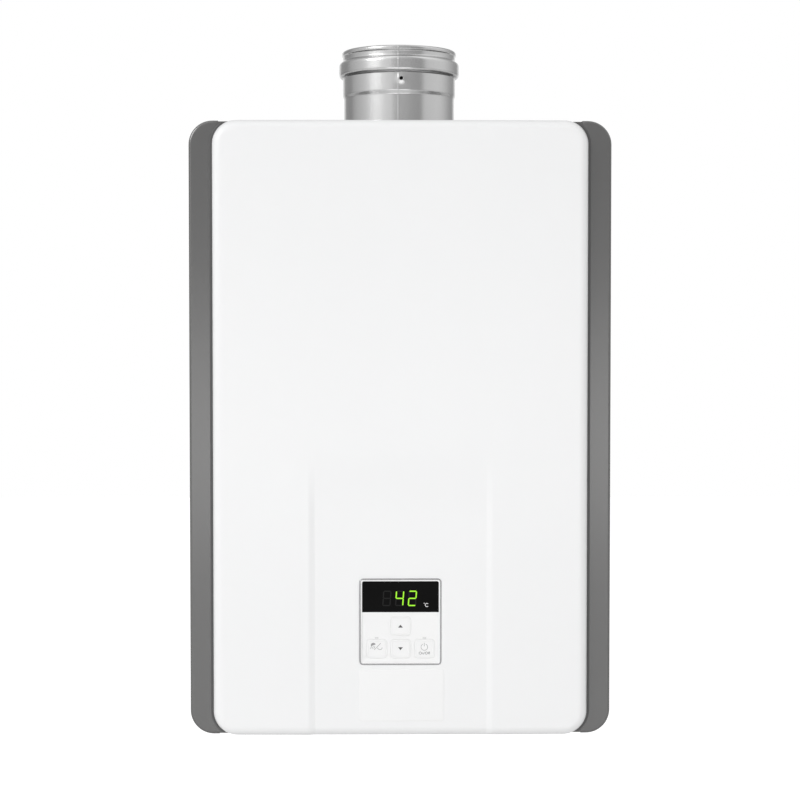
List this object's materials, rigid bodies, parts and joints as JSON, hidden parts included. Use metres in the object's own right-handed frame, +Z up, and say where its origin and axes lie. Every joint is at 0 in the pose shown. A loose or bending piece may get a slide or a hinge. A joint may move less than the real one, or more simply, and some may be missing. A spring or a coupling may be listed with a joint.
{
  "type": "tankless water heater",
  "caption": "Wall-hung gas water heater: white cover with a faded recess and small controller, grey sides, stainless flue collar, and burner, heat exchangers, fan and valves inside.",
  "frame": {"origin": "centre of the four wall fixings, in the wall plane", "axes": "+Z up, +Y into the wall, so the front faces -Y, and +X to the right seen from the front"},
  "size_m": [0.46, 0.256, 0.7855],
  "materials": {
    "white_paint": "gloss",
    "grey_paint": "satin",
    "zinc_sheet": "satin",
    "stainless": "satin",
    "copper": "satin",
    "brass": "satin",
    "aluminium": "matte",
    "black_plastic": "matte",
    "white_plastic": "satin",
    "smoked_window": "gloss",
    "circuit_board": "satin",
    "rubber": "matte",
    "ceramic": "satin"
  },
  "bodies": {
    "case": {"left_side_panel": "grey_paint", "right_side_panel": "grey_paint", "back_panel": "zinc_sheet", "top_panel": "zinc_sheet", "bottom_panel": "zinc_sheet", "wall_brackets": "zinc_sheet", "stack_brackets": "zinc_sheet", "controller_bracket": "zinc_sheet", "burner_box": "zinc_sheet", "fan_motor": "zinc_sheet", "flue_collar": "stainless", "exhaust_spigot": "stainless", "exhaust_hood": "stainless", "secondary_shell": "stainless", "secondary_tubes": "stainless", "burner_bars": "stainless", "case_screws": "stainless", "primary_shell": "copper", "primary_fins": "copper", "primary_tubes": "copper", "chamber_coil": "copper", "cold_pipe": "copper", "link_pipe": "copper", "hot_pipe": "copper", "gas_inlet": "brass", "water_inlet": "brass", "water_valve_body": "brass", "hot_outlet": "brass", "gas_manifold": "aluminium", "gas_valve_body": "aluminium", "gas_pipe": "aluminium", "fan_housing": "aluminium", "fan_cover": "aluminium", "gas_valve_coils": "black_plastic", "flow_sensor_body": "black_plastic", "valve_motor": "black_plastic", "board_tray": "black_plastic", "igniter": "black_plastic", "cord_gland": "black_plastic", "wiring_loom": "black_plastic", "controller_case": "white_plastic", "condensate_trap": "white_plastic", "condensate_pipe": "white_plastic", "display_window": "smoked_window", "control_board": "circuit_board", "controller_board": "circuit_board", "cover_seal": "rubber", "flue_seal": "rubber", "electrodes": "ceramic"},
    "front_cover": {"front_cover": "white_paint"},
    "button_up": {"button_up": "white_plastic"},
    "button_down": {"button_down": "white_plastic"},
    "button_mode": {"button_mode": "white_plastic"},
    "button_power": {"button_power": "white_plastic"},
    "fan_impeller": {"fan_impeller": "zinc_sheet"},
    "flow_turbine": {"flow_turbine": "white_plastic"},
    "valve_plug": {"valve_plug": "brass"},
    "modulator_plunger": {"modulator_plunger": "stainless"},
    "shutoff_plunger": {"shutoff_plunger": "stainless"},
    "filter_plug": {"filter_plug": "black_plastic"}
  },
  "joints": [
    {"name": "cover_off", "type": "slide", "parent": "case", "child": "front_cover", "axis": [0, -1, 0], "range_m": [0, 0.3]},
    {"name": "press_up", "type": "slide", "parent": "case", "child": "button_up", "axis": [0, 1, 0], "range_m": [0, 0.0008], "stiffness_N_per_m": 1500},
    {"name": "press_down", "type": "slide", "parent": "case", "child": "button_down", "axis": [0, 1, 0], "range_m": [0, 0.0008], "stiffness_N_per_m": 1500},
    {"name": "press_mode", "type": "slide", "parent": "case", "child": "button_mode", "axis": [0, 1, 0], "range_m": [0, 0.0008], "stiffness_N_per_m": 1500},
    {"name": "press_power", "type": "slide", "parent": "case", "child": "button_power", "axis": [0, 1, 0], "range_m": [0, 0.0008], "stiffness_N_per_m": 1500},
    {"name": "fan_spin", "type": "hinge", "parent": "case", "child": "fan_impeller", "pos_m": [-0.1, -0.15, -0.217], "axis": [0, -1, 0], "continuous": true},
    {"name": "turbine_spin", "type": "hinge", "parent": "case", "child": "flow_turbine", "pos_m": [0.1775, -0.06, -0.2628], "axis": [0, 0, 1], "continuous": true},
    {"name": "valve_turn", "type": "hinge", "parent": "case", "child": "valve_plug", "pos_m": [0.1775, -0.06, -0.2098], "axis": [1, 0, 0], "range_deg": [0, 90]},
    {"name": "modulator_pull", "type": "slide", "parent": "case", "child": "modulator_plunger", "axis": [0, -1, 0], "range_m": [0, 0.002], "stiffness_N_per_m": 900},
    {"name": "shutoff_pull", "type": "slide", "parent": "case", "child": "shutoff_plunger", "axis": [0, -1, 0], "range_m": [0, 0.003], "stiffness_N_per_m": 900},
    {"name": "filter_out", "type": "slide", "parent": "case", "child": "filter_plug", "axis": [0, 0, -1], "range_m": [0, 0.056]}
  ]
}
